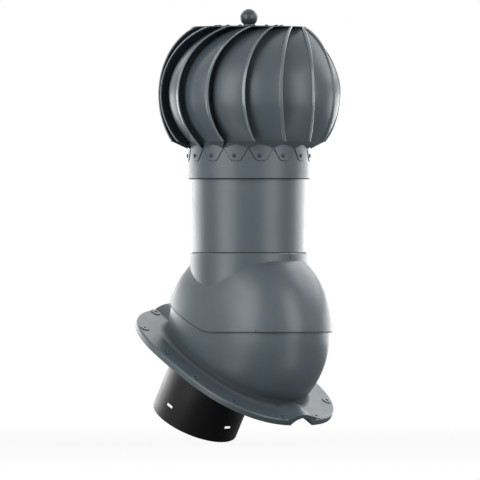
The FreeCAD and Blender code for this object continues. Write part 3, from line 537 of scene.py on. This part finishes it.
def make_hems():
    """Folded hem along every blade's outer edge."""
    places, alongs, outs = blade_edge(HEM_STEPS)
    hem = sweep(HEM_PROFILE, places, alongs, outs)
    # The hems' lighter skin is a painted highlight along the blades' edges
    obj = gather("blade_hems", on_every_blade(hem), hem_highlight_skin, HEM_SHARP)
    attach(obj, "turbine")


def make_hem_shades():
    """Painted shade: a dark line where each hem's folded edge lies on the blade."""
    places, alongs, outs = blade_edge(HEM_SHADE_STEPS)
    hem_shade_strip = sweep(strip(HEM_SHADE_ACROSS, HEM_SHADE_THROUGH), places, alongs, outs)
    obj = gather("hem_shade_lines", on_every_blade(hem_shade_strip), painted_shade_skin)
    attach(obj, "turbine")


def tab_outline():
    """Points down one side of a tab, round its toe and up the other side, with their outward ways."""
    side = []
    for k in range(TAB_SIDE_STEPS + 1):
        share = k / TAB_SIDE_STEPS
        side.append((TAB_HALF - (TAB_HALF - TOE_HALF) * share, TAB_CORNER - (TAB_CORNER - TOE_SIDE) * share))
    drop = TOE_SIDE - TOE_FOOT
    radius = (TOE_HALF**2 + drop**2) / (2 * drop)
    toe = []
    for k in range(1, TOE_STEPS):
        angle = math.asin(TOE_HALF / radius) * (1 - 2 * k / TOE_STEPS)
        toe.append((radius * math.sin(angle), TOE_FOOT + radius - radius * math.cos(angle)))
    path = side + toe + [(-y, z) for y, z in reversed(side)]
    ways = []
    for k in range(len(path)):
        before, after = path[max(k - 1, 0)], path[min(k + 1, len(path) - 1)]
        step = Vector((after[0] - before[0], after[1] - before[1])).normalized()
        ways.append((-step.y, step.x))
    return path, ways


def make_tab_shadows():
    """Painted shadow: a dark line round every tab, where its edge stands off the skirt."""
    points, sides, outs = [], [], []
    for (y, z), (across, up) in zip(*tab_outline()):
        radial = Vector((math.sqrt(SKIRT_RADIUS**2 - y**2), y, 0)).normalized()
        level = Vector((-radial.y, radial.x, 0))
        points.append(radial * SKIRT_RADIUS + Vector((0, 0, z)))
        sides.append(level * across + Vector((0, 0, up)))
        outs.append(radial)
    tab_shadow_strip = sweep(strip(TAB_SHADOW_ACROSS, TAB_SHADOW_THROUGH), points, sides, outs)
    tab_shadow_strip = placed(tab_shadow_strip, Matrix.Rotation(TAB_MIDDLE, 4, "Z"))
    obj = gather("tab_shadow_lines", on_every_blade(tab_shadow_strip), painted_shade_skin)
    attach(obj, "turbine")


def rivet(tail):
    """Blind rivet with a domed head and the pit of its broken mandrel, its head's seat at 0."""
    profile = [
        (TAIL_RADIUS, -tail),
        (SHANK_RADIUS, -tail + TAIL_CHAMFER),
        (SHANK_RADIUS, 0.0),
        (RIVET_HEAD, 0.0),
        (RIVET_HEAD, RIVET_RIM),
    ]
    for step in range(1, DOME_STEPS + 1):
        angle = math.radians(90 * step / DOME_STEPS)
        profile.append((RIVET_HEAD * math.cos(angle * DOME_SPREAD), RIVET_RIM + RIVET_DOME * math.sin(angle)))
    profile.append((PIT_RADIUS, RIVET_DOME))
    profile.append((PIT_FLOOR_RADIUS, RIVET_DOME - PIT_DEPTH))
    return lathe(profile, RIVET_STEPS)


def make_skirt_rivets():
    """Rivets that hold the tabs on the skirt, level and facing out."""
    turn = Matrix.Rotation(SKIRT_RIVET_ANGLE, 4, "Z")
    out = Matrix.Translation((TAB_OUTSIDE, 0, SKIRT_RIVET_HEIGHT)) @ Matrix.Rotation(math.pi / 2, 4, "Y")
    shapes = on_every_blade(placed(rivet(SKIRT_RIVET_TAIL), turn @ out))
    obj = gather("skirt_rivets", shapes, rivet_skin)
    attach(obj, "turbine")
    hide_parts("collar_rivets")


def make_disc_rivets():
    """Rivets that hold the blades under the top disc, heads up."""
    x = math.sqrt(TOP_RIVET_CIRCLE**2 - TOP_RIVET_SIDE**2)
    up = Matrix.Translation((x, TOP_RIVET_SIDE, COVER_TOP))
    shapes = on_every_blade(placed(rivet(TOP_RIVET_TAIL), up))
    obj = gather("disc_rivets", shapes, rivet_skin)
    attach(obj, "turbine")
    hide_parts("top_rivets")


def make_skirt_shade_lip():
    """Dark inner lip at the foot of the skirt, over the running gap to the riser: its black is painted shadow
    under the skirt's edge.
    """
    foot = Matrix.Translation((PIVOT.x, PIVOT.y, SKIRT_FOOT))
    lip = placed(lathe(SKIRT_SHADE_LIP, LIP_STEPS, closed=True), foot)
    obj = gather("skirt_shade_lip", [lip], painted_shade_skin, LIP_SHARP)
    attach(obj, "turbine")


# Head


def make_neck_seal_shade():
    """Rubber lip between the neck and the riser; its black is painted shade along the joint."""
    lip = placed(lathe(NECK_SEAL_SHADE, LIP_STEPS, closed=True), Matrix.Translation(PIVOT))
    obj = gather("neck_seal_shade", [lip], rubber_skin, LIP_SHARP)
    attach(obj, "head")


def seam_height(x):
    """Height of the upper shell's rim above the pivot: level downhill, rising uphill."""
    tangent = SEAM_ROUNDING * math.tan(SEAM_RISE / 2)
    if x >= tangent:
        return SEAM_LIFT
    if x <= -tangent * math.cos(SEAM_RISE):
        return SEAM_LIFT - x * math.tan(SEAM_RISE)
    return SEAM_LIFT + SEAM_ROUNDING - math.sqrt(SEAM_ROUNDING**2 - (x - tangent) ** 2)


def rim_point(angle):
    """Point of the seam on the lower drum's face at a plan angle, from the pivot, found by halving."""
    low, high = 0.0, 2 * DRUM_RADIUS
    for _ in range(SEAM_HALVINGS):
        r = (low + high) / 2
        x, y = r * math.cos(angle), r * math.sin(angle)
        turned = math.hypot(x, seam_height(x)) / DRUM_RADIUS
        if turned**DRUM_EXPONENT + abs(y / DRUM_HALF_WIDTH) ** DRUM_EXPONENT > 1:
            high = r
        else:
            low = r
    x, y = low * math.cos(angle), low * math.sin(angle)
    return Vector((x, y, seam_height(x)))


def drum_normal(point):
    """Outward way of the lower drum's face at a point of it, given from the pivot."""
    x, y, z = point
    turned = math.hypot(x, z)
    radial = (turned / DRUM_RADIUS) ** (DRUM_EXPONENT - 1) / DRUM_RADIUS
    cross = abs(y / DRUM_HALF_WIDTH) ** (DRUM_EXPONENT - 1) / DRUM_HALF_WIDTH
    return Vector((radial * x / turned, math.copysign(cross, y), radial * z / turned)).normalized()


def make_seam_shade_trim():
    """Dark edge trim between the two shells, just under the upper shell's rim: its black is painted shadow of
    the overlapping rim.
    """
    rim = [rim_point(-2 * math.pi * k / SEAM_STEPS) for k in range(SEAM_STEPS)]
    sides, outs = [], []
    for k, point in enumerate(rim):
        step = (rim[(k + 1) % SEAM_STEPS] - rim[k - 1]).normalized()
        out = drum_normal(point)
        sides.append(out.cross(step).normalized())
        outs.append(out)
    points = [PIVOT + point for point in rim]
    seam_shade_trim = sweep(strip(SEAM_SHADE_ACROSS, SEAM_SHADE_THROUGH), points, sides, outs, closed=True)
    obj = gather("seam_seal_shade", [seam_shade_trim], rubber_skin, LIP_SHARP)
    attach(obj, "head")


make_hems()
make_hem_shades()
make_tab_shadows()
make_skirt_rivets()
make_disc_rivets()
make_skirt_shade_lip()
make_neck_seal_shade()
make_seam_shade_trim()


# Stage, in metres, with angles in degrees

CAMERA_TARGET = Vector((0.0487, -0.0089, 0.1659))
CAMERA_DISTANCE = 18.667
CAMERA_AZIMUTH = 45
LIGHT_TARGET = Vector((PIVOT.x, 0, 0.2))
FLOOR_GAP = 0.001
FLOOR_REACH = 2.2
FLOOR_STEPS = 96
FLOOR_GREY = (0.22, 0.22, 0.22)
FLOOR_WHITE_SHARE = 0.93
FLOOR_FADE = (0.3, 1.9)
FLOOR_LIGHT_LIFT = 0.01
WORLD_LEVEL = 0.13


def make_camera():
    """Level camera at the photo's angle, far off with a long lens."""
    data = bpy.data.cameras.new("camera")
    data.sensor_width = 36.0
    data.lens = 1000.0
    data.clip_start = 0.05
    data.clip_end = 100.0
    camera = bpy.data.objects.new("camera", data)
    bpy.context.scene.collection.objects.link(camera)
    camera.location = CAMERA_TARGET + Vector((math.sqrt(0.5), -math.sqrt(0.5), 0)) * CAMERA_DISTANCE
    camera.rotation_euler = (math.pi / 2, 0, math.radians(CAMERA_AZIMUTH))
    bpy.context.scene.camera = camera


def pale(name, colour, camera_level):
    """Pale diffuse surface that the camera sees near white, with its shadow kept."""
    material = bpy.data.materials.new(name)
    material.use_nodes = True
    tree = material.node_tree
    tree.nodes.clear()
    out = tree.nodes.new("ShaderNodeOutputMaterial")
    diffuse = tree.nodes.new("ShaderNodeBsdfDiffuse")
    diffuse.inputs["Color"].default_value = (*colour, 1)
    glow = tree.nodes.new("ShaderNodeEmission")
    glow.inputs["Color"].default_value = (1, 1, 1, 1)
    glow.inputs["Strength"].default_value = 1.0
    path = tree.nodes.new("ShaderNodeLightPath")
    place = tree.nodes.new("ShaderNodeTexCoord")
    away = tree.nodes.new("ShaderNodeVectorMath")
    away.operation = "DISTANCE"
    away.inputs[1].default_value = (PIVOT.x, 0, cad_box[0].z)
    fade = tree.nodes.new("ShaderNodeMapRange")
    set_range(fade, *FLOOR_FADE, camera_level, 1.0)
    share = tree.nodes.new("ShaderNodeMath")
    share.operation = "MULTIPLY"
    mix = tree.nodes.new("ShaderNodeMixShader")
    link = tree.links.new
    link(place.outputs["Object"], away.inputs[0])
    link(away.outputs["Value"], fade.inputs["Value"])
    link(path.outputs["Is Camera Ray"], share.inputs[0])
    link(fade.outputs["Result"], share.inputs[1])
    link(share.outputs[0], mix.inputs["Fac"])
    link(diffuse.outputs[0], mix.inputs[1])
    link(glow.outputs[0], mix.inputs[2])
    link(mix.outputs[0], out.inputs["Surface"])
    return material


def make_floor():
    """Round floor just under the object."""
    level = cad_box[0].z - FLOOR_GAP
    verts = [(PIVOT.x, 0, level)]
    for k in range(FLOOR_STEPS):
        angle = 2 * math.pi * k / FLOOR_STEPS
        verts.append((PIVOT.x + FLOOR_REACH * math.cos(angle), FLOOR_REACH * math.sin(angle), level))
    faces = [(0, k + 1, (k + 1) % FLOOR_STEPS + 1) for k in range(FLOOR_STEPS)]
    floor = new_object("floor", verts, faces, pale("floor_skin", FLOOR_GREY, FLOOR_WHITE_SHARE))


def soft_light(name, azimuth, height, distance, size, power):
    """Softbox aimed at the object, its azimuth from the camera's side, its height from the target."""
    data = bpy.data.lights.new(name, "AREA")
    data.shape = "RECTANGLE"
    data.size, data.size_y = size
    data.energy = power
    light = bpy.data.objects.new(name, data)
    bpy.context.scene.collection.objects.link(light)
    angle = math.radians(azimuth - CAMERA_AZIMUTH)
    way = Vector((math.cos(angle), math.sin(angle), 0))
    light.location = LIGHT_TARGET + way * distance + Vector((0, 0, height))
    aim = LIGHT_TARGET - light.location
    light.rotation_euler = aim.to_track_quat("-Z", "Y").to_euler()
    light.visible_camera = False
    return light


def floor_light(name, azimuth, near, far, width, power):
    """Flat strip that runs away from the object along the floor and shines up."""
    light = soft_light(name, azimuth, 0, (near + far) / 2, (width, far - near), power)
    light.location.z = cad_box[0].z + FLOOR_LIGHT_LIFT
    light.rotation_euler = (math.pi, 0, math.radians(azimuth - CAMERA_AZIMUTH - 90))
    return light


def make_world():
    """Plain low light all round that the camera, clear things and gloss see as white."""
    world = bpy.data.worlds.new("surroundings")
    bpy.context.scene.world = world
    world.use_nodes = True
    tree = world.node_tree
    tree.nodes.clear()
    link = tree.links.new
    out = tree.nodes.new("ShaderNodeOutputWorld")
    mix = tree.nodes.new("ShaderNodeMixShader")
    for socket, strength in ((1, WORLD_LEVEL), (2, 1.0)):
        background = tree.nodes.new("ShaderNodeBackground")
        background.inputs["Color"].default_value = (1, 1, 1, 1)
        background.inputs["Strength"].default_value = strength
        link(background.outputs[0], mix.inputs[socket])
    path = tree.nodes.new("ShaderNodeLightPath")
    seen = path.outputs["Is Camera Ray"]
    for ray in ("Is Transmission Ray", "Is Glossy Ray"):
        either = tree.nodes.new("ShaderNodeMath")
        either.operation = "MAXIMUM"
        link(seen, either.inputs[0])
        link(path.outputs[ray], either.inputs[1])
        seen = either.outputs[0]
    link(seen, mix.inputs["Fac"])
    link(mix.outputs[0], out.inputs["Surface"])


make_camera()
make_floor()
make_world()
soft_light("key_left", azimuth=-47, height=0.35, distance=1.5, size=(1.02, 1.7), power=21.5)
soft_light("key_right", azimuth=47, height=0.35, distance=1.5, size=(0.84, 1.7), power=15)
soft_light("rim_left", azimuth=-136, height=-0.05, distance=1.6, size=(1.4, 0.54), power=8.5)
soft_light("rim_right", azimuth=136, height=-0.06, distance=1.6, size=(1.6, 0.52), power=9.5)
floor_light("low_left", azimuth=-52, near=0.22, far=1.1, width=0.18, power=0.75)
floor_light("low_right", azimuth=43, near=0.22, far=1.1, width=0.16, power=0.7)
soft_light("high_left", azimuth=-140, height=1.05, distance=1.5, size=(1.3, 0.8), power=7)
soft_light("high_right", azimuth=128, height=1.0, distance=1.5, size=(1.6, 1.1), power=16)
soft_light("back", azimuth=180, height=0.75, distance=1.6, size=(1.2, 1.7), power=8)
soft_light("top", azimuth=180, height=1.6, distance=0.2, size=(0.9, 0.9), power=1.5)

bpy.context.scene.view_settings.view_transform = "Standard"
